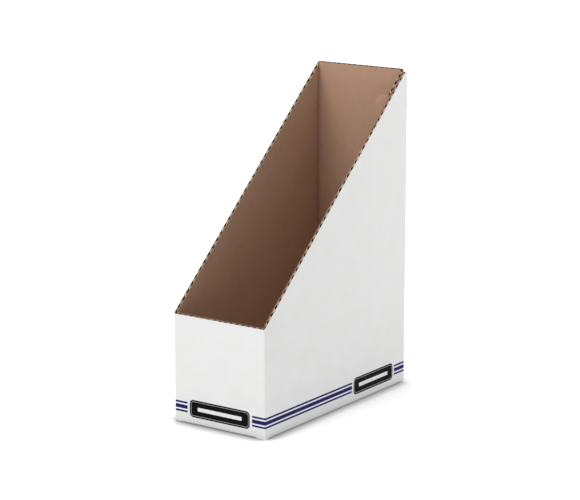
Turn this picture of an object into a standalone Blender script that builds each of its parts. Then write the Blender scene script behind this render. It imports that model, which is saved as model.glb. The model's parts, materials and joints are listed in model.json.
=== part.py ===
"""Open-topped magazine file die-cut from one sheet of corrugated board.

Every panel between two creases is three glued papers: a white outer liner, a fluted medium
and a kraft inner liner. The right wall is the fixed panel. The other panels swing on the
creases of the blank, so the file knocks down flat while its bottom flaps open.

Units are metres, +Z is up, the low front lip faces -Y and the tall back faces +Y.
"""
import math

import bmesh
import bpy
from mathutils import Matrix, Vector

# Driving dimensions
WIDTH = 0.1016
DEPTH = 0.2286
HEIGHT = 0.3048
LIP_HEIGHT = 0.1016
BOARD = 0.0030
LINER = 0.0003
MEDIUM = 0.0002
PLY_GAP = 0.0002
FLUTE_PITCH = 0.00635
FLUTE_FLAT = 0.18

# The sharp top corners of the right wall and glue flap are trimmed below the top of the back
CORNER_TRIM = 0.0025

# Clearances
CREASE_GAP = 0.0001
STACK_GAP = 0.0003
LEVEL = BOARD + STACK_GAP

# Glue flap, folded from the back wall and glued inside the right wall
FLAP_LENGTH = 0.0195
FLAP_BOTTOM = 0.013
EAR_LENGTH = 0.0125
EAR_TOP = 0.2835
EAR_BOTTOM = 0.220
EAR_RADIUS = 0.010
EAR_BEND = math.radians(75)

# Bottom closure: right flap outside, front and back flaps next, left flap inside
RIGHT_FLAP_REACH = 0.057
LEFT_FLAP_REACH = 0.058
NOTCH_WIDTH = 0.080
NOTCH_DEPTH = 0.0265
TONGUE_WIDTH = 0.066
TONGUE_TOP = 0.0094
END_FLAP_REACH = 0.052
END_FLAP_TAPER = 0.83
LEFT_FLAP_TAPER = 1.40
FLAP_SIDE_GAP = 0.0028
TAPERED_SIDE_GAP = 0.0070
LEFT_FLAP_FRONT_GAP = 0.0150

# Axes of the walls and flaps
X = Vector((1, 0, 0))
Y = Vector((0, 1, 0))
Z = Vector((0, 0, 1))

HALF_W = WIDTH / 2
HALF_D = DEPTH / 2
INSIDE_RIGHT = HALF_W - LEVEL
FLAP_INSIDE = INSIDE_RIGHT - BOARD
TRIM_END = CORNER_TRIM * DEPTH / (HEIGHT - LIP_HEIGHT)

# Crease lines that the panels turn about
FRONT_RIGHT_CREASE = Vector((HALF_W, -HALF_D, 0))
BACK_RIGHT_CREASE = Vector((FLAP_INSIDE, HALF_D - BOARD, 0))
FRONT_LEFT_CREASE = Vector((-FLAP_INSIDE, -HALF_D + BOARD, 0))
EAR_CREASE = Vector((FLAP_INSIDE, HALF_D - BOARD - FLAP_LENGTH, 0))


def remove_everything():
    for old in list(bpy.data.objects):
        bpy.data.objects.remove(old, do_unlink=True)


def make_material(name, color, roughness):
    material = bpy.data.materials.new(name)
    material.use_nodes = True
    shader = material.node_tree.nodes["Principled BSDF"]
    shader.inputs["Base Color"].default_value = (*color, 1)
    shader.inputs["Roughness"].default_value = roughness
    shader.inputs["Metallic"].default_value = 0
    return material


def make_frame(name, origin, u_axis, v_axis, collection, parent=None):
    """An empty whose X runs along the crease, Y along the flutes and Z into the board."""
    depth_axis = u_axis.cross(v_axis)
    matrix = Matrix((u_axis, v_axis, depth_axis)).transposed().to_4x4()
    matrix.translation = origin
    empty = bpy.data.objects.new(name, None)
    empty.empty_display_size = 0.01
    empty.hide_render = True
    collection.objects.link(empty)
    if parent:
        empty.parent = parent
        empty.matrix_parent_inverse = parent.matrix_basis.inverted()
    empty.matrix_basis = matrix
    return empty


def slant_height(y):
    """Height of the slanted cut on both side walls, a straight line from lip to back."""
    return LIP_HEIGHT + (HEIGHT - LIP_HEIGHT) * (y + HALF_D) / DEPTH


def make_liner(name, outline, depth, frame, material, collection):
    """A flat paper cut to a closed outline in the panel's own crease and flute axes."""
    curve = bpy.data.curves.new(name, "CURVE")
    curve.dimensions = "2D"
    curve.fill_mode = "BOTH"
    curve.extrude = LINER / 2
    spline = curve.splines.new("POLY")
    spline.points.add(len(outline) - 1)
    for point, (u, v) in zip(spline.points, outline):
        point.co = (u, v, 0, 1)
    spline.use_cyclic_u = True
    curve.materials.append(material)
    liner = bpy.data.objects.new(name, curve)
    collection.objects.link(liner)
    liner.parent = frame
    liner.location = (0, 0, depth + LINER / 2)
    return liner


def flute_profile(start, end):
    """Points (along, level) of the trapezoid wave; level 0 is its outer side and 1 its inner."""
    count = max(1, round((end - start) / FLUTE_PITCH))
    pitch = (end - start) / count
    flat = FLUTE_FLAT * pitch
    points = [(start, 0)]
    for index in range(count):
        left = start + index * pitch
        points.append((left + flat / 2, 0))
        points.append((left + pitch / 2 - flat / 2, 1))
        points.append((left + pitch / 2 + flat / 2, 1))
        points.append((left + pitch - flat / 2, 0))
    points.append((end, 0))
    return points


def make_fluting(name, start, end, low, high, depth, frame, material, collection):
    """The fluted medium: a wave along u, standing between low(u) and high(u) along v."""
    outer = depth + LINER + PLY_GAP + MEDIUM / 2
    inner = depth + BOARD - LINER - PLY_GAP - MEDIUM / 2
    shape = bmesh.new()
    chain = []
    for u, level in flute_profile(start, end):
        chain.append(shape.verts.new((u, low(u), outer + level * (inner - outer))))
    edges = [shape.edges.new(pair) for pair in zip(chain, chain[1:])]
    extruded = bmesh.ops.extrude_edge_only(shape, edges=edges)["geom"]
    for vertex in extruded:
        if isinstance(vertex, bmesh.types.BMVert):
            vertex.co.y = high(vertex.co.x)
    mesh = bpy.data.meshes.new(name)
    shape.to_mesh(mesh)
    shape.free()
    mesh.materials.append(material)
    fluting = bpy.data.objects.new(name, mesh)
    collection.objects.link(fluting)
    fluting.parent = frame
    thickness = fluting.modifiers.new("paper", "SOLIDIFY")
    thickness.thickness = MEDIUM
    thickness.offset = 0
    thickness.use_even_offset = True
    return fluting


def make_board(name, frame, cut, papers, collection, depth=0.0):
    """Three papers of one panel. cut(inset) gives start, end, low(u), high(u) and corners.

    inset is how far the paper stays back from a folded edge: its own inner depth and a gap,
    so that two panels meeting at a crease never share space. corners lists where the edges
    that low and high describe change direction.
    """
    plies = (("outer_liner", 0.0, LINER), ("fluting", 0.0, BOARD - LINER - PLY_GAP),
             ("inner_liner", BOARD - LINER, BOARD))
    for label, top, bottom in plies:
        inset = bottom + CREASE_GAP
        start, end, low, high, corners = cut(inset)
        material = papers[label]
        full_name = f"{name}_{label}"
        if label == "fluting":
            make_fluting(full_name, start, end, low, high, depth, frame, material, collection)
            continue
        stations = sorted({start, end, *[u for u in corners if start < u < end]})
        outline = [(u, low(u)) for u in stations] + [(u, high(u)) for u in reversed(stations)]
        make_liner(full_name, outline, depth + top, frame, material, collection)


def level_line(value):
    return lambda u: value


def round_stations(center, radius, steps=6):
    """Places along u that a quarter arc ending at center needs."""
    return [center + radius * math.sin(math.pi / 2 * step / steps) for step in range(steps + 1)]


# Walls

def cut_front_wall(inset):
    return inset, WIDTH - inset, level_line(CREASE_GAP), level_line(LIP_HEIGHT), []


def cut_left_wall(inset):
    def top(u):
        return slant_height(u - HALF_D)
    return inset, DEPTH - inset, level_line(CREASE_GAP), top, []


def cut_back_wall(inset):
    return inset, HALF_W + INSIDE_RIGHT - inset, level_line(CREASE_GAP), level_line(HEIGHT), []


def trimmed_height(u):
    """Height of the cut on the right wall and glue flap, u forward of the outside of the back."""
    return min(slant_height(HALF_D - u), HEIGHT - CORNER_TRIM)


def cut_right_wall(inset):
    return 0, DEPTH - inset, level_line(inset), trimmed_height, [TRIM_END]


def cut_glue_flap(inset):
    end = BOARD + FLAP_LENGTH - CREASE_GAP
    return inset, end, level_line(FLAP_BOTTOM), trimmed_height, [TRIM_END]


def cut_ear(inset):
    start = STACK_GAP
    round_start = EAR_LENGTH - EAR_RADIUS

    def sag(u):
        over = max(0.0, u - round_start)
        return EAR_RADIUS - math.sqrt(max(0.0, EAR_RADIUS ** 2 - over ** 2))

    def top(u):
        return EAR_TOP - sag(u)

    def bottom(u):
        return EAR_BOTTOM + sag(u)
    return start, EAR_LENGTH, bottom, top, round_stations(round_start, EAR_RADIUS)


# Bottom flaps, each measured from its own hinge line at the outside of its wall

def step_stations(half_width, edge=0.0001):
    """Both sides of the two steps that an edge makes half_width either side of mid-depth."""
    middle = DEPTH / 2
    return [middle + side * (half_width + near) for side in (-1, 1) for near in (-edge, edge)]


def cut_right_flap(inset):
    start = LEVEL + FLAP_SIDE_GAP
    end = DEPTH - LEVEL - FLAP_SIDE_GAP
    reach = LEVEL + RIGHT_FLAP_REACH
    tongue = TONGUE_WIDTH / 2

    def high(u):
        if abs(u - DEPTH / 2) < tongue:
            return reach + BOARD - inset
        return reach
    return start, end, level_line(inset), high, step_stations(tongue)


def cut_left_flap(inset):
    start = LEVEL + FLAP_SIDE_GAP
    end = DEPTH - LEVEL - LEFT_FLAP_FRONT_GAP
    low = level_line(LEVEL)
    reach = LEVEL + LEFT_FLAP_REACH

    def high(u):
        from_ends = min(u - LEVEL, DEPTH - LEVEL - u)
        side = min(reach, LEVEL + LEFT_FLAP_TAPER * from_ends)
        if abs(u - DEPTH / 2) < NOTCH_WIDTH / 2:
            return reach - NOTCH_DEPTH
        return side
    taper = LEVEL + LEFT_FLAP_REACH / LEFT_FLAP_TAPER
    return start, end, low, high, [taper, DEPTH - taper, *step_stations(NOTCH_WIDTH / 2)]


def cut_end_flap(inset, right_at_end):
    """A front or back flap: square beside the left wall, cut away beside the right wall."""
    square = LEVEL + FLAP_SIDE_GAP
    tapered = LEVEL + TAPERED_SIDE_GAP
    start, end = (square, WIDTH - tapered) if right_at_end else (tapered, WIDTH - square)
    reach = LEVEL + END_FLAP_REACH

    def high(u):
        from_right = WIDTH - u if right_at_end else u
        return min(reach, LEVEL + END_FLAP_TAPER * (from_right - LEVEL))
    taper = LEVEL + END_FLAP_REACH / END_FLAP_TAPER
    return start, end, level_line(LEVEL), high, [WIDTH - taper if right_at_end else taper]


def cut_tongue(inset):
    start = (DEPTH - TONGUE_WIDTH) / 2
    return start, start + TONGUE_WIDTH, level_line(inset), level_line(TONGUE_TOP), []


def build():
    remove_everything()
    collection = bpy.data.collections.new("magazine_file")
    bpy.context.scene.collection.children.link(collection)

    white = make_material("white_liner", (0.83, 0.83, 0.82), 0.62)
    kraft = make_material("kraft_liner", (0.45, 0.30, 0.20), 0.85)
    flute = make_material("fluting_paper", (0.38, 0.25, 0.16), 0.90)
    faced = {"outer_liner": white, "fluting": flute, "inner_liner": kraft}
    plain = {"outer_liner": kraft, "fluting": flute, "inner_liner": kraft}

    right = make_frame("right_wall_frame", Vector((HALF_W, HALF_D, 0)), -Y, Z, collection)
    make_board("right_wall", right, cut_right_wall, faced, collection)

    flap = make_frame("glue_flap_frame", Vector((INSIDE_RIGHT, HALF_D, 0)), -Y, Z, collection)
    make_board("glue_flap", flap, cut_glue_flap, plain, collection)

    inward = Vector((-math.sin(EAR_BEND), -math.cos(EAR_BEND), 0))
    ear = make_frame("glue_ear_crease", EAR_CREASE, inward, Z, collection)
    make_board("glue_ear", ear, cut_ear, plain, collection, depth=-BOARD)

    front_crease = make_frame("front_right_crease", FRONT_RIGHT_CREASE, -X, Z, collection)
    make_board("front_wall", front_crease, cut_front_wall, faced, collection)

    left_crease = make_frame("front_left_crease", FRONT_LEFT_CREASE, Y, Z, collection, front_crease)
    left = make_frame("left_wall_frame", Vector((-HALF_W, -HALF_D, 0)), Y, Z, collection, left_crease)
    make_board("left_wall", left, cut_left_wall, faced, collection)

    back_crease = make_frame("back_right_crease", BACK_RIGHT_CREASE, X, Z, collection)
    back = make_frame("back_wall_frame", Vector((-HALF_W, HALF_D, 0)), X, Z, collection, back_crease)
    make_board("back_wall", back, cut_back_wall, faced, collection)

    right_hinge = make_frame("right_flap_crease", Vector((HALF_W, -HALF_D, 0)), Y, -X, collection)
    make_board("right_bottom_flap", right_hinge, cut_right_flap, faced, collection)

    tongue_at = Vector((HALF_W - LEVEL - RIGHT_FLAP_REACH - BOARD, -HALF_D, 0))
    tongue = make_frame("tongue_fold", tongue_at, Y, Z, collection, right_hinge)
    make_board("lock_tongue", tongue, cut_tongue, faced, collection)

    left_hinge = make_frame("left_flap_crease", Vector((-HALF_W, HALF_D, 0)), -Y, X, collection, left)
    make_board("left_bottom_flap", left_hinge, cut_left_flap, faced, collection, depth=2 * LEVEL)

    front_hinge = make_frame("front_flap_crease", Vector((-HALF_W, -HALF_D, 0)), X, Y, collection,
                             front_crease)
    make_board("front_bottom_flap", front_hinge, lambda inset: cut_end_flap(inset, True), faced,
               collection, depth=LEVEL)

    back_hinge = make_frame("back_flap_crease", Vector((HALF_W, HALF_D, 0)), -X, -Y, collection, back)
    make_board("back_bottom_flap", back_hinge, lambda inset: cut_end_flap(inset, False), faced,
               collection, depth=LEVEL)


build()
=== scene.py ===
"""Looks of the corrugated magazine file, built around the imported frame.

Every panel of the frame has three papers. Each one is replaced by a finer sheet: the outer
liner with its printed stripes, the wavy fluting, and the kraft inner liner. Folds join the
walls at the upright creases, and hems join them to the bottom flaps. Lengths are metres.
"""
import json
import math
from collections import namedtuple

import bmesh
import bpy
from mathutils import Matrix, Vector, noise

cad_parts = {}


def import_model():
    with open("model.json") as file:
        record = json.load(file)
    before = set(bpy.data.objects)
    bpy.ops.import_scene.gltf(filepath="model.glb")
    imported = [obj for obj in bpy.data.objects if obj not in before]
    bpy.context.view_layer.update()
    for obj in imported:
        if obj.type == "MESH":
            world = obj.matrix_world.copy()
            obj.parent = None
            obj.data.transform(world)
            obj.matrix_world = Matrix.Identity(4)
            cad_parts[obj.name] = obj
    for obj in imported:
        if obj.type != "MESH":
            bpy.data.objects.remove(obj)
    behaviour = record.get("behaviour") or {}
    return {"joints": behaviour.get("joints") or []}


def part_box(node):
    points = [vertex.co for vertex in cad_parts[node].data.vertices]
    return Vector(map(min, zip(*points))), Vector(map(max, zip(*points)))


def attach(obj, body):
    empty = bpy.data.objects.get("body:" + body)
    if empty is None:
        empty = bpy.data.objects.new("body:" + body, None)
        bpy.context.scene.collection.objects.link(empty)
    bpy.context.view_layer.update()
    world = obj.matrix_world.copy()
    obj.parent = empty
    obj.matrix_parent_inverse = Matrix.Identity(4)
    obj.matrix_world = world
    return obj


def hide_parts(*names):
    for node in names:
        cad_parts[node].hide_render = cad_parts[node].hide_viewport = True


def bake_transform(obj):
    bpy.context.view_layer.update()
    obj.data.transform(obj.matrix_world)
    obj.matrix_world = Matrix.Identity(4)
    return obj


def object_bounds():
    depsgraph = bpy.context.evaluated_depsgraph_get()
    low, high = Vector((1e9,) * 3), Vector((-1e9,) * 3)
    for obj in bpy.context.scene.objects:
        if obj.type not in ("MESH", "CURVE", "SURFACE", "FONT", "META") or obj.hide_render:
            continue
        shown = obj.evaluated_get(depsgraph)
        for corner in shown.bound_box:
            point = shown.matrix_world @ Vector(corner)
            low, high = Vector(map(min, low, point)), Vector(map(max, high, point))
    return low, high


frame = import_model()
CAD_LOW, CAD_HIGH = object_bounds()

MM = 0.001

# Sizes read from the frame
HALF_W = CAD_HIGH.x
HALF_D = CAD_HIGH.y
HEIGHT = CAD_HIGH.z
WIDTH = 2 * HALF_W
DEPTH = 2 * HALF_D
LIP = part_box("front_wall_outer_liner")[1].z
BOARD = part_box("front_wall_inner_liner")[1].y + HALF_D
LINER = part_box("front_wall_outer_liner")[1].y + HALF_D
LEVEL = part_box("front_bottom_flap_outer_liner")[0].z
FLAP_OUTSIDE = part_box("glue_flap_outer_liner")[1].x
FLAP_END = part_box("glue_flap_inner_liner")[0].y
FLAP_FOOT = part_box("glue_flap_outer_liner")[0].z
EAR_LOW, EAR_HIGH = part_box("glue_ear_inner_liner")
TRIMMED_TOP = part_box("right_wall_outer_liner")[1].z
JOINTS = {joint["name"]: joint for joint in frame["joints"]}
EAR_CREASE = Vector(JOINTS["glue_ear_crease"]["pos_m"])

# Paper. SKIN is how far the white face lies inside the frame's, so that print can stand on it
PITCH = 6.35 * MM
MEDIUM = 0.30 * MM
SKIN = 0.06 * MM
INNER_SKIN = 0.07 * MM
WASHBOARD = 0.016 * MM
KRAFT_WASHBOARD = 0.030 * MM
COLUMN_STEP = 0.8 * MM
SEGMENTS_PER_FLUTE = 14

# Knife cuts: depth of the pale band on the outer side of the flutes, and on their inner side.
# Deeper in, the papers are darkened almost to black as painted shade inside the flutes.
SHALLOW_CUT = (0.12 * MM, 0.80 * MM)
SLANTED_CUT = (0.30 * MM, 2.80 * MM)

# How far the knife left the outer and the inner liner below the full height
NO_BEVEL = (0.0, 0.0)
OUTER_BEVEL = (0.6 * MM, 0.0)
INNER_BEVEL = (0.0, 0.6 * MM)

# Wear along the cuts: how far down it reaches, and how deep it goes
WORN_BAND, WORN_DEPTH = 1.6 * MM, 0.09 * MM
CRUSHED_BAND, CRUSHED_SWAY = 6 * MM, 0.55 * MM
CURL_BAND, CURL_DEPTH = 1.4 * MM, 1.5 * MM
FRAY_DEPTH, TEAR_DEPTH = 0.07 * MM, 0.25 * MM
RECESS, RECESS_SPREAD = 0.12 * MM, 0.16 * MM

# The ear of the glue flap
EAR_BEND = math.radians(75)
EAR_RADIUS = 10 * MM
EAR_REACH = 12.5 * MM

# Print, measured up from the bottom edge: thin, thick and thin stripe
STRIPES = ((10.3 * MM, 12.1 * MM), (13.5 * MM, 17.1 * MM), (18.5 * MM, 20.3 * MM))
STRIPE_HEIGHTS = [edge for stripe in STRIPES for edge in stripe]
BADGE_MARGIN = 20.2 * MM
BADGE_LENGTH = 67.4 * MM
BADGE_HEIGHT = 16.4 * MM
BADGE_GAP = 2.5 * MM
BADGE_CENTRE = 15.2 * MM

X = Vector((1, 0, 0))
Y = Vector((0, 1, 0))
Z = Vector((0, 0, 1))


# ---------------------------------------------------------------- materials

class Nodes:
    """A small helper that adds and links the nodes of one material."""

    def __init__(self, name, roughness=0.7, specular=0.3):
        self.material = bpy.data.materials.new(name)
        self.material.use_nodes = True
        self.tree = self.material.node_tree
        self.shader = self.tree.nodes["Principled BSDF"]
        self.shader.inputs["Roughness"].default_value = roughness
        self.shader.inputs["Specular IOR Level"].default_value = specular
        coordinates = self.tree.nodes.new("ShaderNodeTexCoord")
        self.position = coordinates.outputs["Object"]

    def link(self, source, target):
        self.tree.links.new(source, target)

    def stretched(self, scale):
        mapping = self.tree.nodes.new("ShaderNodeMapping")
        mapping.inputs["Scale"].default_value = scale
        self.link(self.position, mapping.inputs["Vector"])
        return mapping.outputs["Vector"]

    def noise(self, scale, detail=3.0, rough=0.55, stretch=None):
        node = self.tree.nodes.new("ShaderNodeTexNoise")
        node.inputs["Scale"].default_value = scale
        node.inputs["Detail"].default_value = detail
        node.inputs["Roughness"].default_value = rough
        self.link(self.stretched(stretch) if stretch else self.position, node.inputs["Vector"])
        return node.outputs["Fac"]

    def ramp(self, value, *stops):
        node = self.tree.nodes.new("ShaderNodeValToRGB")
        elements = node.color_ramp.elements
        while len(elements) < len(stops):
            elements.new(0.5)
        for element, (place, color) in zip(elements, stops):
            element.position = place
            element.color = (*color, 1) if len(color) == 3 else color
        self.link(value, node.inputs["Fac"])
        return node.outputs["Color"]

    def mix(self, factor, first, second, mode="MIX"):
        node = self.tree.nodes.new("ShaderNodeMix")
        node.data_type = "RGBA"
        node.blend_type = mode
        for value, socket in ((factor, node.inputs[0]), (first, node.inputs[6]),
                              (second, node.inputs[7])):
            if isinstance(value, bpy.types.NodeSocket):
                self.link(value, socket)
            elif isinstance(value, tuple):
                socket.default_value = (*value, 1)
            else:
                socket.default_value = value
        return node.outputs[2]

    def maths(self, operation, first, second):
        node = self.tree.nodes.new("ShaderNodeMath")
        node.operation = operation
        for value, socket in ((first, node.inputs[0]), (second, node.inputs[1])):
            if isinstance(value, bpy.types.NodeSocket):
                self.link(value, socket)
            else:
                socket.default_value = value
        return node.outputs[0]

    def bump(self, height, distance, strength=1.0, normal=None):
        node = self.tree.nodes.new("ShaderNodeBump")
        node.inputs["Distance"].default_value = distance
        node.inputs["Strength"].default_value = strength
        self.link(height, node.inputs["Height"])
        if normal is not None:
            self.link(normal, node.inputs["Normal"])
        return node.outputs["Normal"]

    def finish(self, color, normal=None, roughness=None):
        self.link(color, self.shader.inputs["Base Color"])
        if normal is not None:
            self.link(normal, self.shader.inputs["Normal"])
        if roughness is not None:
            self.link(roughness, self.shader.inputs["Roughness"])
        return self.material


def grey(value):
    return (value, value, value)


def paper_grain(nodes, distance):
    """Fibres: a fine felt with longer strands lying along the machine direction."""
    felt = nodes.noise(2600, detail=4, rough=0.6)
    strands = nodes.noise(900, detail=3, rough=0.6, stretch=(1, 1, 0.18))
    height = nodes.maths("ADD", felt, nodes.maths("MULTIPLY", strands, 0.8))
    return nodes.bump(height, distance, 0.6), felt, strands


def white_paper():
    nodes = Nodes("white_liner", specular=0.28)
    normal, felt, strands = paper_grain(nodes, 0.03 * MM)
    cloud = nodes.noise(55, detail=5)
    base = nodes.ramp(cloud, (0.30, (0.728, 0.730, 0.722)), (0.70, (0.752, 0.752, 0.750)))
    fibres = nodes.ramp(strands, (0.28, grey(0.975)), (0.50, grey(1.0)))
    mottled = nodes.mix(0.7, base, fibres, "MULTIPLY")
    specks = nodes.ramp(nodes.noise(700, detail=2), (0.705, grey(1.0)), (0.76, (0.80, 0.77, 0.72)))
    color = nodes.mix(0.7, mottled, specks, "MULTIPLY")
    roughness = nodes.maths("ADD", nodes.maths("MULTIPLY", felt, 0.16), 0.50)
    return nodes.finish(color, normal, roughness)


def kraft_paper():
    nodes = Nodes("kraft_liner", specular=0.18)
    normal, felt, strands = paper_grain(nodes, 0.08 * MM)
    cloud = nodes.noise(90, detail=5)
    base = nodes.ramp(cloud, (0.28, (0.420, 0.256, 0.175)), (0.72, (0.448, 0.277, 0.190)))
    fibres = nodes.ramp(strands, (0.25, grey(0.92)), (0.55, grey(1.0)), (0.80, grey(1.05)))
    fibred = nodes.mix(0.6, base, fibres, "MULTIPLY")
    flecks = nodes.ramp(nodes.noise(1500, detail=2), (0.24, (0.55, 0.46, 0.38)), (0.33, grey(1.0)))
    color = nodes.mix(0.8, fibred, flecks, "MULTIPLY")
    roughness = nodes.maths("ADD", nodes.maths("MULTIPLY", felt, 0.12), 0.78)
    return nodes.finish(color, normal, roughness)


def dark_paper(name, dark, light):
    """Recycled brown paper, as the fluting and the glued faces of the liners are, its tone darkened
    almost to black as painted shade inside the flutes.
    """
    nodes = Nodes(name, specular=0.12)
    normal, felt, strands = paper_grain(nodes, 0.07 * MM)
    base = nodes.ramp(nodes.noise(60, detail=4), (0.3, dark), (0.7, light))
    fibres = nodes.ramp(strands, (0.3, grey(0.8)), (0.6, grey(1.05)))
    color = nodes.mix(0.7, base, fibres, "MULTIPLY")
    roughness = nodes.maths("ADD", nodes.maths("MULTIPLY", felt, 0.1), 0.84)
    return nodes.finish(color, normal, roughness)


def cut_paper(name, dark, light):
    """The knife-cut edge of a paper, paler and furry."""
    nodes = Nodes(name, specular=0.12)
    normal, felt, strands = paper_grain(nodes, 0.1 * MM)
    base = nodes.ramp(nodes.noise(420, detail=4), (0.3, dark), (0.7, light))
    roughness = nodes.maths("ADD", nodes.maths("MULTIPLY", felt, 0.1), 0.85)
    return nodes.finish(base, normal, roughness)


def printed_ink(name, dark, light, show_paper):
    """Ink on the white liner: the paper's fibres show through as pale pinholes."""
    nodes = Nodes(name, specular=0.03)
    normal, felt, strands = paper_grain(nodes, 0.03 * MM)
    body = nodes.ramp(nodes.noise(160, detail=4), (0.3, dark), (0.7, light))
    pinholes = nodes.ramp(nodes.noise(3300, detail=2), (0.70, grey(0.0)), (0.80, grey(show_paper)))
    color = nodes.mix(pinholes, body, (0.45, 0.45, 0.50))
    roughness = nodes.maths("ADD", nodes.maths("MULTIPLY", felt, 0.2), 0.42)
    return nodes.finish(color, normal, roughness)


WHITE = white_paper()
KRAFT = kraft_paper()
# The fluting and the glued faces are darkened far below brown paper's own tone: painted shade
# inside the flutes.
FLUTING_IN_PAINTED_SHADE = dark_paper("fluting_paper", (0.022, 0.014, 0.010), (0.038, 0.024, 0.017))
GLUED_FACE_IN_PAINTED_SHADE = dark_paper("glued_face_painted_shade", (0.022, 0.014, 0.010), (0.038, 0.025, 0.018))
CUT = cut_paper("cut_edge", (0.36, 0.245, 0.175), (0.52, 0.37, 0.27))
EDGE = cut_paper("cut_white_edge", (0.58, 0.50, 0.43), (0.74, 0.67, 0.60))
BLUE = printed_ink("stripe_ink", (0.019, 0.012, 0.105), (0.028, 0.018, 0.145), 0.18)
BLACK = printed_ink("badge_ink", (0.003, 0.003, 0.0035), (0.007, 0.007, 0.0075), 0.06)
SILVER = printed_ink("keyline_ink", (0.36, 0.36, 0.37), (0.46, 0.46, 0.47), 0.15)


# ---------------------------------------------------------------- panels

class Panel:
    """One flat panel: a place on the outside of a corner, and its axes.

    u runs across the flutes, v along them, and depth into the board from its outer face.
    """

    def __init__(self, name, body, origin, u_axis, v_axis):
        self.name = name
        self.body = body
        self.origin = Vector(origin)
        self.u_axis = u_axis
        self.v_axis = v_axis
        self.depth_axis = u_axis.cross(v_axis)

    def place(self, u, v, depth):
        return self.origin + self.u_axis * u + self.v_axis * v + self.depth_axis * depth


RIGHT = Panel("right_wall", "right_wall", (HALF_W, HALF_D, 0), -Y, Z)
FRONT = Panel("front_wall", "front_wall", (HALF_W, -HALF_D, 0), -X, Z)
LEFT = Panel("left_wall", "left_wall", (-HALF_W, -HALF_D, 0), Y, Z)
BACK = Panel("back_wall", "back_wall", (-HALF_W, HALF_D, 0), X, Z)
FLAP = Panel("glue_flap", "right_wall", (FLAP_OUTSIDE, HALF_D, 0), -Y, Z)
EAR_OUT = Vector((-math.sin(EAR_BEND), -math.cos(EAR_BEND), 0))
EAR = Panel("glue_ear", "glue_ear", EAR_CREASE - BOARD * EAR_OUT.cross(Z), EAR_OUT, Z)
RIGHT_FLAP = Panel("right_bottom_flap", "right_bottom_flap", (HALF_W, -HALF_D, 0), Y, -X)
LEFT_FLAP = Panel("left_bottom_flap", "left_bottom_flap", (-HALF_W, HALF_D, 0), -Y, X)
FRONT_FLAP = Panel("front_bottom_flap", "front_bottom_flap", (-HALF_W, -HALF_D, 0), X, Y)
BACK_FLAP = Panel("back_bottom_flap", "back_bottom_flap", (HALF_W, HALF_D, 0), -X, -Y)


def slant(y):
    """Height of the slanted cut on the side walls."""
    return LIP + (HEIGHT - LIP) * (y + HALF_D) / DEPTH


def smooth(t):
    t = min(1.0, max(0.0, t))
    return t * t * (3 - 2 * t)


def wobble(seed, place, size):
    """A repeatable unevenness between -1 and 1."""
    return noise.noise(Vector((place / size, seed * 7.31, 0.5))) * 2


# ---------------------------------------------------------------- sheets

def add_mesh(name, points, faces, slots, materials, body):
    mesh = bpy.data.meshes.new(name)
    mesh.from_pydata(points, [], faces)
    for material in materials:
        mesh.materials.append(material)
    mesh.polygons.foreach_set("material_index", slots)
    shape = bmesh.new()
    shape.from_mesh(mesh)
    bmesh.ops.recalc_face_normals(shape, faces=shape.faces)
    shape.to_mesh(mesh)
    shape.free()
    mesh.shade_smooth()
    mesh.set_sharp_from_angle(angle=math.radians(38))
    mesh.update()
    piece = bpy.data.objects.new(name, mesh)
    bpy.context.scene.collection.objects.link(piece)
    if body:
        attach(piece, body)
    return piece


class Slab:
    """Collects thin closed sheets, each given by a grid of outer and of inner points."""

    def __init__(self):
        self.points = []
        self.faces = []
        self.slots = []

    def add(self, outer, inner, face_slot, back_slot, rim_slot):
        """outer and inner are equal grids [column][row]; both face slots are functions of these."""
        columns, rows = len(outer), len(outer[0])
        base = len(self.points)
        for grid in (outer, inner):
            for column in grid:
                self.points.extend(column)

        def at(side, column, row):
            return base + side * columns * rows + column * rows + row

        for i in range(columns - 1):
            for j in range(rows - 1):
                self.faces.append((at(0, i, j), at(0, i, j + 1),
                                   at(0, i + 1, j + 1), at(0, i + 1, j)))
                self.slots.append(face_slot(i, j))
                self.faces.append((at(1, i, j), at(1, i + 1, j),
                                   at(1, i + 1, j + 1), at(1, i, j + 1)))
                self.slots.append(back_slot(i, j))
        for i in range(columns - 1):
            for j, flip in ((0, False), (rows - 1, True)):
                rim = (at(0, i, j), at(0, i + 1, j), at(1, i + 1, j), at(1, i, j))
                self.faces.append(rim[::-1] if flip else rim)
                self.slots.append(rim_slot)
        for j in range(rows - 1):
            for i, flip in ((0, True), (columns - 1, False)):
                rim = (at(0, i, j), at(0, i, j + 1), at(1, i, j + 1), at(1, i, j))
                self.faces.append(rim[::-1] if flip else rim)
                self.slots.append(rim_slot)

    def make(self, name, materials, body=None):
        return add_mesh(name, self.points, self.faces, self.slots, materials, body)


def same(slot):
    """A face slot that is the same all over a sheet."""
    return lambda i, j: slot


def spread(start, end, step, *extra):
    """Even places from start to end about a step apart, with any extra ones between them."""
    count = max(1, round((end - start) / step))
    places = [start + (end - start) * i / count for i in range(count + 1)]
    places += [value for value in extra if start < value < end]
    places.sort()
    kept = [places[0]]
    for value in places[1:]:
        if value - kept[-1] > 0.02 * MM:
            kept.append(value)
    return kept


# ---------------------------------------------------------------- one board of three papers

# Material slots of a sheet: its face, its glued side, its cut band, printed ink and its rim. The
# glued side's paper is darkened as painted shade inside the flutes.
FACE, GLUED, KNIFE, INK, RIM = range(5)
PLAIN_PAPERS = (KRAFT, GLUED_FACE_IN_PAINTED_SHADE, CUT)
FACED_PAPERS = (WHITE, GLUED_FACE_IN_PAINTED_SHADE, CUT, BLUE, EDGE)

# How far the outer liner, the medium and the inner liner stop short of a crease
CREASE_OUT = 1.5 * MM
CREASE_MID = 3.0 * MM
CREASE_IN = 5.0 * MM

# How high the medium and the inner liner stop above the foot of a wall
FOOT_MID = 2.0 * MM
FOOT_IN = 3.4 * MM


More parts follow.
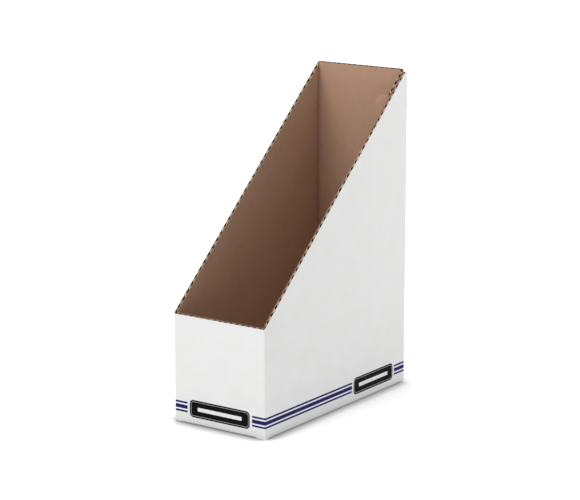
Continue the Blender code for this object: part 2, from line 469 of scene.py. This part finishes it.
class Flutes:
    """The wave of one board, shared by its three papers."""

    def __init__(self, start, end):
        self.start = start
        self.end = end
        self.count = max(1, round((end - start) / PITCH))
        self.pitch = (end - start) / self.count

    def phase(self, u):
        return 2 * math.pi * (u - self.start) / self.pitch

    def level(self, u):
        """0 where the medium touches the outer liner and 1 where it touches the inner."""
        c = math.cos(self.phase(u))
        return 0.5 - 0.5 * c * (1.16 - 0.16 * c * c)


def heights(low, high, fixed, count):
    """Rows up one column, closer together at both edges."""
    reach = min(4 * MM, (high - low) * 0.3)
    rows = [low, low + reach * 0.12, low + reach * 0.45]
    rows += fixed
    start = max(low + reach, fixed[-1] + 2 * MM) if fixed else low + reach
    stop = high - reach
    rows += [start + (stop - start) * i / count for i in range(count)]
    rows += [stop, high - reach * 0.45, high - reach * 0.12, high]
    return rows


def washboard(flutes, ends, u, v, foot):
    """How strongly the wave shows through a liner, fading towards its ends and its foot."""
    from_ends = min(u - ends[0], ends[1] - u)
    shown = smooth(from_ends / (5 * MM)) * smooth((v - foot) / (7 * MM))
    return shown * math.cos(flutes.phase(u))


def nick(seed, u):
    """How far the knife left the paper short, with its little tears."""
    fray = abs(wobble(seed, u, 1.1 * MM)) * FRAY_DEPTH
    tear = max(0.0, wobble(seed + 3, u, 6 * MM) - 0.6) * TEAR_DEPTH
    return fray + tear


def in_band(rows, j, band):
    """Whether row j lies in the pale band under the cut."""
    return rows[j] > rows[-1] - band - 0.01 * MM


def near_top(below, band):
    """1 at the cut edge, falling to 0 at the given distance below it."""
    return max(0.0, 1 - below / band)


def in_stripe(v):
    return any(low < v < high for low, high in STRIPES)


# A panel and its flutes, the depth of its outer face, how many rows its middle has, heights
# that need a row, the knife's cut and bevel, and places along u that need a column
Board = namedtuple("Board", "panel flutes depth count fixed cut bevel breaks")


def liner(board, side, start, end, low, high, printed, rim_slot, seed):
    """One liner of a board as a closed sheet. side is outer or inner."""
    place, flutes, depth = board.panel.place, board.flutes, board.depth
    cut = board.cut
    drop = board.bevel[0] if side == "outer" else board.bevel[1]
    gaps = [edge for gap in printed for edge in gap] if printed else []
    near_ends = (start + 0.5 * MM, end - 0.5 * MM)
    columns = spread(start, end, COLUMN_STEP, *near_ends, *gaps, *board.breaks)
    faces, backs, tops = [], [], []
    for u in columns:
        bottom, top = low(u), high(u) - nick(seed, u) - drop
        face, back = [], []
        rows = heights(bottom, top, board.fixed, board.count)
        rows = sorted([*rows, *[top - band for band in cut]])
        tops.append(rows)
        for v in rows:
            wave = washboard(flutes, (start, end), u, v, CREASE_OUT)
            worn = near_top(top - v, WORN_BAND) ** 2 * WORN_DEPTH
            if side == "outer":
                face.append(place(u, v, depth + SKIN - WASHBOARD * wave + worn))
                back.append(place(u, v, depth + LINER))
            else:
                skin = depth + BOARD - INNER_SKIN - KRAFT_WASHBOARD * wave - worn
                face.append(place(u, v, depth + BOARD - LINER))
                back.append(place(u, v, skin))
        faces.append(face)
        backs.append(back)

    def plain_side(i, j):
        return FACE

    # Outside the pale cut band the glued side takes the paper darkened as painted shade.
    def glued_side(i, j):
        band = cut[1] if side == "inner" and flutes.level(columns[i]) < 0.5 else cut[0]
        return KNIFE if in_band(tops[i], j, band) else GLUED

    def printed_side(i, j):
        u = (columns[i] + columns[i + 1]) / 2
        v = (tops[i][j] + tops[i][j + 1]) / 2
        behind_badge = any(left < u < right for left, right in printed)
        return INK if in_stripe(v) and not behind_badge else FACE

    slab = Slab()
    if side == "outer":
        face_side = plain_side if printed is None else printed_side
        slab.add(faces, backs, face_side, glued_side, rim_slot)
    else:
        slab.add(faces, backs, glued_side, plain_side, rim_slot)
    return slab


def medium(board, start, end, low, high, seed):
    """The fluted paper between the liners, crushed a little where the knife came down."""
    place, flutes, depth = board.panel.place, board.flutes, board.depth
    cut, bevel = board.cut, board.bevel
    inside = BOARD - LINER - MEDIUM / 2
    outside = LINER + MEDIUM / 2
    step = 0.05 * MM
    segments = SEGMENTS_PER_FLUTE * flutes.count
    faces, backs, tops = [], [], []
    for i in range(segments + 1):
        u = start + (end - start) * i / segments
        level = flutes.level(u)
        w = outside + (inside - outside) * level
        rise = (inside - outside) * (flutes.level(u + step) - flutes.level(u - step)) / (2 * step)
        across, along = Vector((-rise, 1)).normalized() * (MEDIUM / 2)
        bottom = low(u)
        drop = bevel[0] * (1 - level) + bevel[1] * level
        top = high(u) - (RECESS + RECESS_SPREAD * abs(wobble(seed, u, 2.3 * MM))) - drop
        lean = wobble(seed + 1, u, 9 * MM) * CRUSHED_SWAY * smooth(min(u - start, end - u) / PITCH)
        face, back = [], []
        rows = sorted([*heights(bottom, top, [], 3), *[top - band for band in cut]])
        tops.append(rows)
        for v in rows:
            curl = near_top(top - v, CURL_BAND) ** 2 * (1 - level) ** 1.5 * CURL_DEPTH
            sway = near_top(top - v, CRUSHED_BAND) ** 1.5 * lean
            face.append(place(u + sway - across, v, depth + w - along))
            back.append(place(u + sway + across, v, depth + w + along + curl))
        faces.append(face)
        backs.append(back)

    # Slot 0 is the fluting darkened as painted shade, slot 1 the pale cut band.
    def outer_side(i, j):
        return int(in_band(tops[i], j, cut[0]))

    def inner_side(i, j):
        return int(in_band(tops[i], j, cut[1]))

    slab = Slab()
    slab.add(faces, backs, outer_side, inner_side, 1)
    return slab


# The flutes and the ends of each panel's outer sheet, for the print that lies on it
SKINS = {}


def make_board(panel, start, end, feet, high, folds, printed=None, depth=0.0, plain=False, count=8,
               seed=1.0, cut=SHALLOW_CUT, bevel=NO_BEVEL, breaks=()):
    """The three papers of one panel between start and end.

    feet gives the lower edge of the outer liner, the medium and the inner liner. folds says
    for each end whether the board is creased there, and so whether each paper stops short.
    printed lists the gaps in the stripes, or is None on a board without print.
    """
    title = panel.name
    insets = [(CREASE_OUT, CREASE_MID, CREASE_IN) if fold else (0.0, 0.0, 0.0) for fold in folds]
    flutes = Flutes(start + insets[0][1], end - insets[1][1])
    fixed = [] if printed is None else STRIPE_HEIGHTS
    board = Board(panel, flutes, depth, count, fixed, cut, bevel, breaks)
    ranges = [(start + insets[0][i], end - insets[1][i]) for i in range(3)]
    SKINS[title] = (flutes, ranges[0])

    papers, rim = (PLAIN_PAPERS, KNIFE) if plain else (FACED_PAPERS, RIM)
    outer = liner(board, "outer", *ranges[0], feet[0], high, printed, rim, seed)
    piece = outer.make(f"{title}_outer_sheet", papers, panel.body)
    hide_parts(f"{title}_outer_liner")

    wave = medium(board, *ranges[1], feet[1], high, seed + 11)
    piece = wave.make(f"{title}_flutes", (FLUTING_IN_PAINTED_SHADE, CUT), panel.body)
    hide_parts(f"{title}_fluting")

    inner = liner(board, "inner", *ranges[2], feet[2], high, None, KNIFE, seed + 23)
    piece = inner.make(f"{title}_inner_sheet", PLAIN_PAPERS, panel.body)
    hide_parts(f"{title}_inner_liner")


# ---------------------------------------------------------------- walls

# The hem under a wall is an arc of radius HEM, HEM_RISE higher where it climbs to an inner flap
HEM = 1.7 * MM
HEM_RISE = 0.3 * MM
HEM_STEP = 2.5 * MM

# How far the bottom flaps stop short of the corners
FLAP_GAP = 2.8 * MM
TAPERED_GAP = 7.0 * MM
LEFT_FRONT_GAP = 15.0 * MM
HEM_START = LEVEL + FLAP_GAP

# Foot of the outer liner beside its hem, and how far each corner is worn up
EDGE_FOOT = 0.1 * MM
LIFTS = {"back_right": 1.6 * MM, "front_right": 0.0, "front_left": 1.6 * MM, "back_left": 1.2 * MM}

# Where each bottom flap joins its wall, along the flap
RIGHT_SPAN = (HEM_START, DEPTH - HEM_START)
LEFT_SPAN = (HEM_START, DEPTH - LEVEL - LEFT_FRONT_GAP)
FRONT_SPAN = (HEM_START, WIDTH - LEVEL - TAPERED_GAP)
BACK_SPAN = (LEVEL + TAPERED_GAP, WIDTH - HEM_START)


def wall_feet(length, first, last, span, rise):
    """Lower edges of a wall's papers: folded under along its flap, cut and rounded elsewhere."""
    hem_low, hem_high = length - span[1], length - span[0]

    def raised(u):
        near_start = LIFTS[first] * (1 - smooth(u / HEM_START))
        near_end = LIFTS[last] * (1 - smooth((length - u) / HEM_START))
        return near_start + near_end

    def outer(u):
        return HEM + rise if hem_low <= u <= hem_high else EDGE_FOOT + raised(u)

    breaks = (hem_low - 0.03 * MM, hem_low, hem_high, hem_high + 0.03 * MM)
    return (outer, lambda u: FOOT_MID + raised(u), lambda u: FOOT_IN + raised(u)), breaks


def trimmed(u):
    """Top of the right wall and the glue flap, u forward of the outside of the back."""
    return min(slant(HALF_D - u), TRIMMED_TOP)


def level_line(value):
    return lambda u: value


def badge_gap(start):
    return start - BADGE_GAP, start + BADGE_LENGTH + BADGE_GAP


RIGHT_BADGE = BADGE_MARGIN
FRONT_BADGE = HALF_W - BADGE_LENGTH / 2
LEFT_BADGE = DEPTH - BADGE_MARGIN - BADGE_LENGTH
BACK_WIDTH = HALF_W + FLAP_OUTSIDE

feet, breaks = wall_feet(DEPTH, "back_right", "front_right", RIGHT_SPAN, 0.0)
make_board(RIGHT, 0, DEPTH, feet, trimmed, (False, True), printed=[badge_gap(RIGHT_BADGE)],
           count=26, seed=1, cut=SLANTED_CUT, breaks=breaks)
feet, breaks = wall_feet(WIDTH, "front_right", "front_left", FRONT_SPAN, HEM_RISE)
make_board(FRONT, 0, WIDTH, feet, level_line(LIP), (True, True), printed=[badge_gap(FRONT_BADGE)],
           count=12, seed=2, bevel=OUTER_BEVEL, breaks=breaks)
feet, breaks = wall_feet(DEPTH, "front_left", "back_left", LEFT_SPAN, HEM_RISE)
make_board(LEFT, 0, DEPTH, feet, lambda u: slant(u - HALF_D), (True, True),
           printed=[badge_gap(LEFT_BADGE)], count=26, seed=3, cut=SLANTED_CUT, breaks=breaks)
feet, breaks = wall_feet(WIDTH, "back_left", "back_right", BACK_SPAN, HEM_RISE)
make_board(BACK, 0, BACK_WIDTH, feet, level_line(HEIGHT), (True, True), printed=[],
           count=32, seed=4, bevel=INNER_BEVEL, breaks=breaks)

FLAP_LENGTH = HALF_D - FLAP_END
make_board(FLAP, 0, FLAP_LENGTH, [level_line(FLAP_FOOT)] * 3, trimmed,
           (True, False), plain=True, count=24, seed=5, cut=SLANTED_CUT)


def ear_sag(u):
    """How far the ear's rounded corners fall away from its straight edges."""
    over = max(0.0, u - (EAR_REACH - EAR_RADIUS))
    return EAR_RADIUS - math.sqrt(max(0.0, EAR_RADIUS ** 2 - over ** 2))


EAR_TOP = EAR_HIGH.z
EAR_FOOT = EAR_LOW.z
make_board(EAR, 0.3 * MM, EAR_REACH - 0.2 * MM, [lambda u: EAR_FOOT + ear_sag(u)] * 3,
           lambda u: EAR_TOP - ear_sag(u), (False, False), plain=True, count=12, seed=6)


# ---------------------------------------------------------------- bottom flaps

TONGUE_LOW, TONGUE_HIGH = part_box("lock_tongue_outer_liner")
TONGUE_HALF = (TONGUE_HIGH.y - TONGUE_LOW.y) / 2
RIGHT_REACH = HALF_W - TONGUE_LOW.x - BOARD
LEFT_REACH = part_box("left_bottom_flap_outer_liner")[1].x + HALF_W
END_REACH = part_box("front_bottom_flap_outer_liner")[1].y + HALF_D
NOTCH_HALF = 40 * MM
NOTCH_DEPTH = 26.5 * MM
END_TAPER = 0.83
LEFT_TAPER = 1.40
ROUND = 2.5 * MM

# Where the climb from a hem ends and the flap's own sheets start
SLOPE_END = 6.2 * MM
LEFT_SLOPE_END = 6.0 * MM
MEDIUM_START = LEVEL + 1 * MM


def rounded(high, start, end):
    """The same cut line with its two outer corners rounded off."""

    def line(u):
        over = max(0.0, ROUND - min(u - start, end - u))
        return high(u) - (ROUND - math.sqrt(max(0.0, ROUND ** 2 - over ** 2)))

    return line


def right_edge(u):
    """The edge of the outermost flap, reaching on into the fold of its tongue."""
    return RIGHT_REACH + (BOARD - CREASE_OUT if abs(u - HALF_D) < TONGUE_HALF else 0.0)


def left_edge(u):
    """The notched and tapered edge of the innermost flap."""
    from_ends = min(u - LEVEL, DEPTH - LEVEL - u)
    side = min(LEFT_REACH, LEVEL + LEFT_TAPER * from_ends)
    return LEFT_REACH - NOTCH_DEPTH if abs(u - HALF_D) < NOTCH_HALF else side


def end_edge(from_right):
    return min(END_REACH, LEVEL + END_TAPER * (from_right - LEVEL))


make_board(RIGHT_FLAP, *RIGHT_SPAN, [level_line(HEM), level_line(LEVEL), level_line(LEVEL)],
           rounded(right_edge, *RIGHT_SPAN), (False, False), seed=7)
make_board(LEFT_FLAP, *LEFT_SPAN,
           [level_line(LEFT_SLOPE_END), level_line(MEDIUM_START), level_line(LEVEL)],
           rounded(left_edge, *LEFT_SPAN), (False, False), depth=2 * LEVEL, seed=8)
make_board(FRONT_FLAP, *FRONT_SPAN,
           [level_line(SLOPE_END), level_line(MEDIUM_START), level_line(LEVEL)],
           rounded(lambda u: end_edge(WIDTH - u), *FRONT_SPAN), (False, False), depth=LEVEL, seed=9)
make_board(BACK_FLAP, *BACK_SPAN,
           [level_line(SLOPE_END), level_line(MEDIUM_START), level_line(LEVEL)],
           rounded(end_edge, *BACK_SPAN), (False, False), depth=LEVEL, seed=10)

TONGUE = Panel("lock_tongue", "right_bottom_flap", (TONGUE_LOW.x, -HALF_D, 0), Y, Z)
TONGUE_SPAN = (HALF_D - TONGUE_HALF, HALF_D + TONGUE_HALF)
make_board(TONGUE, *TONGUE_SPAN, [level_line(CREASE_OUT), level_line(LEVEL), level_line(LEVEL)],
           rounded(level_line(TONGUE_HIGH.z), *TONGUE_SPAN), (False, False), count=2, seed=12)


# ---------------------------------------------------------------- upright folds

# Material slots of a fold: its white face, bare kraft, the medium, printed ink and cut rims. The
# medium's paper is darkened as painted shade.
FOLD_PAPERS = (WHITE, KRAFT, FLUTING_IN_PAINTED_SHADE, BLUE, CUT)
FOLD_WHITE, FOLD_KRAFT, FOLD_MEDIUM, FOLD_INK, FOLD_RIM = range(5)


def arc_profile(center, outer, inner, steps=8):
    """Outer and inner points (depth in A, depth in B) of a paper turning a right angle."""
    pairs = []
    for i in range(steps + 1):
        turn = math.pi / 2 * i / steps
        c, s = math.cos(turn), math.sin(turn)
        pairs.append([(center - radius * c, center - radius * s) for radius in (outer, inner)])
    return pairs


def bezier(points, t):
    """Place and direction at t on a cubic curve."""
    a, b, c, d = (Vector(point) for point in points)
    s = 1 - t
    place = a * s ** 3 + b * 3 * s * s * t + c * 3 * s * t * t + d * t ** 3
    tangent = (b - a) * s * s + (c - b) * 2 * s * t + (d - c) * t * t
    return place, tangent.normalized()


def bezier_profile(points, thickness, steps=12):
    """Points either side of a smooth line; the first of each pair is on its right."""
    pairs = []
    for i in range(steps + 1):
        place, tangent = bezier(points, i / steps)
        side = Vector((tangent.y, -tangent.x)) * (thickness / 2)
        pairs.append((place - side, place + side))
    return pairs


def groove_profile():
    """The inner liner, pressed into the board along the crease."""
    half = (LINER - INNER_SKIN) / 2
    flat = BOARD - LINER + half
    near, far = 1.55 * MM, 1.95 * MM
    points = ((flat, CREASE_IN), (far, near), (near, far), (CREASE_IN, flat))
    return [(b, a) for a, b in bezier_profile(points, 2 * half)]


def fold_mesh(corner, along_a, along_b, foot, top_a, top_b, bevel, part=(0.0, 1.0)):
    """The three papers round an upright crease. along_a is the way panel A leaves the corner.

    bevel is panel B's. part is the share of the turn that is made; a half turn meets its other
    half at an open crease, so its medium shows there and is bare kraft.
    """
    slab = Slab()
    outer = arc_profile(CREASE_OUT, CREASE_OUT - SKIN, CREASE_OUT - LINER)
    middle = arc_profile(CREASE_MID, CREASE_MID - LINER, CREASE_MID - LINER - MEDIUM)
    hidden = FOLD_MEDIUM if part == (0.0, 1.0) else FOLD_KRAFT
    plies = ((outer, foot[0], CREASE_OUT, bevel[0], FOLD_WHITE, FOLD_KRAFT),
             (middle, foot[1], CREASE_MID, sum(bevel) / 2, hidden, hidden),
             (groove_profile(), foot[2], CREASE_IN, bevel[1], FOLD_KRAFT, FOLD_KRAFT))
    for profile, low, reach, drop, face_slot, back_slot in plies:
        first = round(part[0] * (len(profile) - 1))
        last = round(part[1] * (len(profile) - 1))
        faces, backs, tops = [], [], []
        for i in range(first, last + 1):
            share = smooth(i / (len(profile) - 1))
            top = top_a(reach) * (1 - share) + (top_b - drop) * share - 0.05 * MM
            bottom = low[0] * (1 - share) + low[1] * share
            rows = heights(bottom, top, STRIPE_HEIGHTS, 10)
            tops.append(rows)
            for grid, (a, b) in ((faces, profile[i][0]), (backs, profile[i][1])):
                grid.append([corner + along_a * b + along_b * a + Z * v for v in rows])

        def slot(i, j, face_slot=face_slot, tops=tops):
            middle_height = (tops[i][j] + tops[i][j + 1]) / 2
            if face_slot == FOLD_WHITE and in_stripe(middle_height):
                return FOLD_INK
            return face_slot

        rim_slot = FOLD_WHITE if face_slot == FOLD_WHITE else FOLD_RIM
        slab.add(faces, backs, slot, same(back_slot), rim_slot)
    return slab


def fold_foot(corner, near=(0.0, 0.0, 0.0)):
    """Lower ends of the three papers at a corner, for panel A and panel B."""
    own = [foot + LIFTS[corner] for foot in (EDGE_FOOT, FOOT_MID, FOOT_IN)]
    return [(other or foot, foot) for other, foot in zip(near, own)]


def blended_fold(name, corner, along_a, along_b, foot, top_a, top_b, bevel):
    slab = fold_mesh(corner, along_a, along_b, foot, top_a, top_b, bevel)
    piece = slab.make(name, FOLD_PAPERS)
    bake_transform(piece)


def front_top(reach):
    return slant(-HALF_D + reach)


def back_top(reach):
    return slant(HALF_D - reach)


blended_fold("front_right_fold", Vector((HALF_W, -HALF_D, 0)), Y, -X,
             fold_foot("front_right"), front_top, LIP, OUTER_BEVEL)
blended_fold("front_left_fold", Vector((-HALF_W, -HALF_D, 0)), Y, X,
             fold_foot("front_left"), front_top, LIP, OUTER_BEVEL)
blended_fold("back_right_fold", Vector((FLAP_OUTSIDE, HALF_D, 0)), -Y, -X,
             fold_foot("back_right", [FLAP_FOOT] * 3), trimmed, HEIGHT,
             INNER_BEVEL)

LEFT_BACK = Vector((-HALF_W, HALF_D, 0))
for name, body, part in (("back_left_fold_near", "left_wall", (0.0, 0.5)),
                         ("back_left_fold_far", "back_wall", (0.5, 1.0))):
    half = fold_mesh(LEFT_BACK, -Y, X, fold_foot("back_left"), back_top, HEIGHT, INNER_BEVEL, part)
    half.make(name, FOLD_PAPERS, body)


def ear_fold():
    """Kraft skins that carry the glue flap round into the ear."""
    slab = Slab()
    crease = Vector((EAR_CREASE.x, EAR_CREASE.y))
    out = Vector((EAR_OUT.x, EAR_OUT.y))
    across = Vector((EAR.depth_axis.x, EAR.depth_axis.y))
    back = Vector((0, -1))
    lines = []
    for depth, bulge in ((BOARD - LINER / 2, 0.5), (BOARD / 2, 1.1), (LINER / 2, 1.7)):
        start = Vector((FLAP_OUTSIDE - depth, FLAP_END + 0.1 * MM))
        end = crease - across * (BOARD - depth) + out * 0.4 * MM
        lines.append((start, start + back * bulge * MM, end - out * bulge * MM, end))
    for number, line in enumerate(lines):
        thickness = MEDIUM if number == 1 else LINER - 0.06 * MM
        faces, backs = [], []
        for first, second in bezier_profile(line, thickness, 8):
            rows = heights(EAR_FOOT + 0.2 * MM, EAR_TOP - (0.2 + 0.2 * number) * MM, [], 10)
            faces.append([Vector((*first, v)) for v in rows])
            backs.append([Vector((*second, v)) for v in rows])
        slab.add(faces, backs, same(0), same(0), 1)
    piece = slab.make("glue_ear_fold", (KRAFT, CUT))
    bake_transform(piece)


ear_fold()


# ---------------------------------------------------------------- hems under the walls

def hem(name, flap, span, slope, rise, settled=SKIN):
    """The outer liner turning under a wall and, for the inner layers, rising to its flap.

    A point of the profile is (depth into the wall, height). The height settled only sets a point
    that is not used.
    """
    base = HEM_RISE if slope else 0
    profile = [((a, b + base), (c, d + base)) for (a, b), (c, d) in
               arc_profile(HEM, HEM - SKIN, HEM - LINER)]
    if slope:
        half = (LINER + SKIN) / 2
        run = slope - HEM
        line = ((HEM, base + half), (HEM + run * 0.45, base + half),
                (HEM + run * 0.5, rise + half), (slope, rise + half))
        profile += [(low, up) for up, low in bezier_profile(line, LINER - SKIN, 8)][1:]
    slab = Slab()
    faces, backs = [], []
    for u in spread(*span, HEM_STEP):
        faces.append([flap.place(u, *outer) for outer, inner in profile])
        backs.append([flap.place(u, *inner) for outer, inner in profile])
    slab.add(faces, backs, same(0), same(1), 0)
    piece = slab.make(name, (WHITE, KRAFT))
    start = flap.place(span[0], SKIN, base + HEM)
    end = flap.place(span[0], HEM, base + settled)
    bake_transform(piece)


hem("right_hem", RIGHT_FLAP, RIGHT_SPAN, None, 0)
hem("front_hem", FRONT_FLAP, FRONT_SPAN, SLOPE_END, LEVEL)
hem("back_hem", BACK_FLAP, BACK_SPAN, SLOPE_END, LEVEL)
hem("left_hem", LEFT_FLAP, LEFT_SPAN, LEFT_SLOPE_END, 2 * LEVEL, HEM / 2)


def tongue_fold():
    """The right flap's outer liner turning up into the lock tongue."""
    slab = Slab()
    faces, backs = [], []
    profile = arc_profile(CREASE_OUT, CREASE_OUT - SKIN, CREASE_OUT - LINER)
    for u in spread(*TONGUE_SPAN, HEM_STEP):
        faces.append([TONGUE.place(u, b, a) for (a, b), inner in profile])
        backs.append([TONGUE.place(u, b, a) for outer, (a, b) in profile])
    slab.add(faces, backs, same(0), same(1), 0)
    piece = slab.make("lock_tongue_fold", (WHITE, KRAFT), "right_bottom_flap")


tongue_fold()


# ---------------------------------------------------------------- printed badges

BADGE_RADIUS = 4.2 * MM
KEYLINE = (1.40 * MM, 1.80 * MM)
WRITE_IN_INSET = 9.0 * MM
WRITE_IN_HEIGHT = 3.6 * MM
WRITE_IN_RADIUS = 0.7 * MM

# Bottom and top of each printed layer above the white face
BASE_INK = (0.005 * MM, 0.020 * MM)
TOP_INK = (0.021 * MM, 0.028 * MM)


def half_height(s, length, height, radius):
    """Half the height of a rounded rectangle at a distance s from its left end."""
    over = max(0.0, radius - min(s, length - s))
    return height / 2 - radius + math.sqrt(max(0.0, radius ** 2 - over ** 2))


def end_steps(length, radius):
    """Places along a rounded rectangle, closer together in its rounded ends."""
    turn = [radius * (1 - math.cos(math.pi / 2 * i / 10)) for i in range(11)]
    return sorted({*turn, *[length - s for s in turn], *spread(radius, length - radius, 0.8 * MM)})


def badge(panel, left, name):
    """A black label with a fine keyline round a blank panel to write on."""
    flutes, ends = SKINS[panel.name]

    def at(u, v, lift):
        wave = washboard(flutes, ends, u, v, CREASE_OUT)
        return panel.place(u, v, SKIN - WASHBOARD * wave - lift)

    def plate(inset, height, radius, layer, slot):
        length = BADGE_LENGTH - 2 * inset
        faces, backs = [], []
        for s in end_steps(length, radius):
            half = half_height(s, length, height, radius)
            rows = [BADGE_CENTRE + half * (i / 4 - 1) for i in range(9)]
            faces.append([at(left + inset + s, v, layer[1]) for v in rows])
            backs.append([at(left + inset + s, v, layer[0]) for v in rows])
        slab.add(faces, backs, same(slot), same(slot), slot)

    def outline(inset, radius):
        """The rounded rectangle as a closed loop of (u, v)."""
        length = BADGE_LENGTH - 2 * inset
        height = BADGE_HEIGHT - 2 * inset
        steps = end_steps(length, radius)
        over = [(s, half_height(s, length, height, radius)) for s in steps]
        loop = over + [(s, -half) for s, half in over[::-1]]
        loop.append(loop[0])
        return [(left + inset + s, BADGE_CENTRE + half) for s, half in loop]

    slab = Slab()
    plate(0.0, BADGE_HEIGHT, BADGE_RADIUS, BASE_INK, 0)
    rings = [outline(inset, BADGE_RADIUS - inset) for inset in KEYLINE]
    faces = [[at(*outer, TOP_INK[1]), at(*inner, TOP_INK[1])] for outer, inner in zip(*rings)]
    backs = [[at(*outer, TOP_INK[0]), at(*inner, TOP_INK[0])] for outer, inner in zip(*rings)]
    slab.add(faces, backs, same(1), same(1), 1)
    plate(WRITE_IN_INSET, WRITE_IN_HEIGHT, WRITE_IN_RADIUS, TOP_INK, 2)
    piece = slab.make(name, (BLACK, SILVER, WHITE), panel.body)


badge(FRONT, FRONT_BADGE, "front_badge")
badge(RIGHT, RIGHT_BADGE, "right_badge")
badge(LEFT, LEFT_BADGE, "left_badge")


# ---------------------------------------------------------------- stage

def floor():
    """A white floor with a contact shade, glowing more with distance so that it has no horizon."""
    mesh = bpy.data.meshes.new("floor")
    size = 9.0
    mesh.from_pydata([(-size, -size, 0), (size, -size, 0), (size, size, 0), (-size, size, 0)], [],
                     [(0, 1, 2, 3)])
    nodes = Nodes("floor_paint", roughness=0.9, specular=0.1)
    tone = nodes.ramp(nodes.noise(3.0), (0.3, grey(0.92)), (0.7, grey(0.93)))
    contact = nodes.tree.nodes.new("ShaderNodeAmbientOcclusion")
    contact.inputs["Distance"].default_value = 0.018
    shade = nodes.ramp(contact.outputs["AO"], (0.50, grey(0.38)), (0.88, grey(1.0)))
    away = nodes.tree.nodes.new("ShaderNodeVectorMath")
    away.operation = "LENGTH"
    nodes.link(nodes.position, away.inputs[0])
    glow = nodes.tree.nodes.new("ShaderNodeMapRange")
    for socket, value in (("From Min", 0.3), ("From Max", 3.0), ("To Min", 0.15), ("To Max", 0.50)):
        glow.inputs[socket].default_value = value
    nodes.link(away.outputs["Value"], glow.inputs["Value"])
    nodes.shader.inputs["Emission Color"].default_value = (1, 1, 1, 1)
    nodes.link(nodes.maths("MULTIPLY", glow.outputs["Result"], shade),
               nodes.shader.inputs["Emission Strength"])
    mesh.materials.append(nodes.finish(nodes.mix(1.0, tone, shade, "MULTIPLY")))
    plane = bpy.data.objects.new("floor", mesh)
    plane.location.z = -0.02 * MM
    bpy.context.scene.collection.objects.link(plane)


def area_light(name, place, target, size, watts):
    data = bpy.data.lights.new(name, "AREA")
    data.shape = "RECTANGLE"
    data.size, data.size_y = size
    data.energy = watts
    lamp = bpy.data.objects.new(name, data)
    lamp.location = place
    lamp.rotation_euler = (Vector(target) - Vector(place)).to_track_quat("-Z", "Y").to_euler()
    lamp.visible_camera = False
    bpy.context.scene.collection.objects.link(lamp)


def world(strength):
    sky = bpy.data.worlds.new("studio")
    sky.use_nodes = True
    shader = sky.node_tree.nodes["Background"]
    shader.inputs["Color"].default_value = (1, 1, 1, 1)
    shader.inputs["Strength"].default_value = strength
    bpy.context.scene.world = sky


CAMERA_LENS = 131.878
CAMERA_AZIMUTH = math.radians(35.29)
CAMERA_ELEVATION = math.radians(12.84)
CAMERA_DISTANCE = 1.9683
TARGET_HEIGHT = 0.14505
TARGET_SIDEWAYS = -0.00273


def camera():
    """A long lens with 36 mm of sensor, looking down at the file from its right front."""
    data = bpy.data.cameras.new("camera")
    data.lens = CAMERA_LENS
    data.sensor_width = 36
    data.clip_start, data.clip_end = 0.05, 100
    right = Vector((math.cos(CAMERA_AZIMUTH), math.sin(CAMERA_AZIMUTH), 0))
    back = right.cross(Z) * math.cos(CAMERA_ELEVATION) + Z * math.sin(CAMERA_ELEVATION)
    eye = bpy.data.objects.new("camera", data)
    eye.location = Z * TARGET_HEIGHT + right * TARGET_SIDEWAYS + back * CAMERA_DISTANCE
    eye.rotation_mode = "QUATERNION"
    eye.rotation_quaternion = (-back).to_track_quat("-Z", "Y")
    bpy.context.scene.collection.objects.link(eye)
    bpy.context.scene.camera = eye


floor()
world(0.47)
area_light("key", (-0.9, -2.2, 1.5), (0, 0, 0.12), (1.6, 1.2), 23)
area_light("top", (0.0, 0.0, 4.0), (0, 0, 0), (4.0, 4.0), 98)
area_light("side", (0.45, 0.60, 0.38), (0.05, 0.05, 0.15), (0.4, 0.4), 1.15)
camera()
bpy.context.scene.view_settings.view_transform = "Standard"
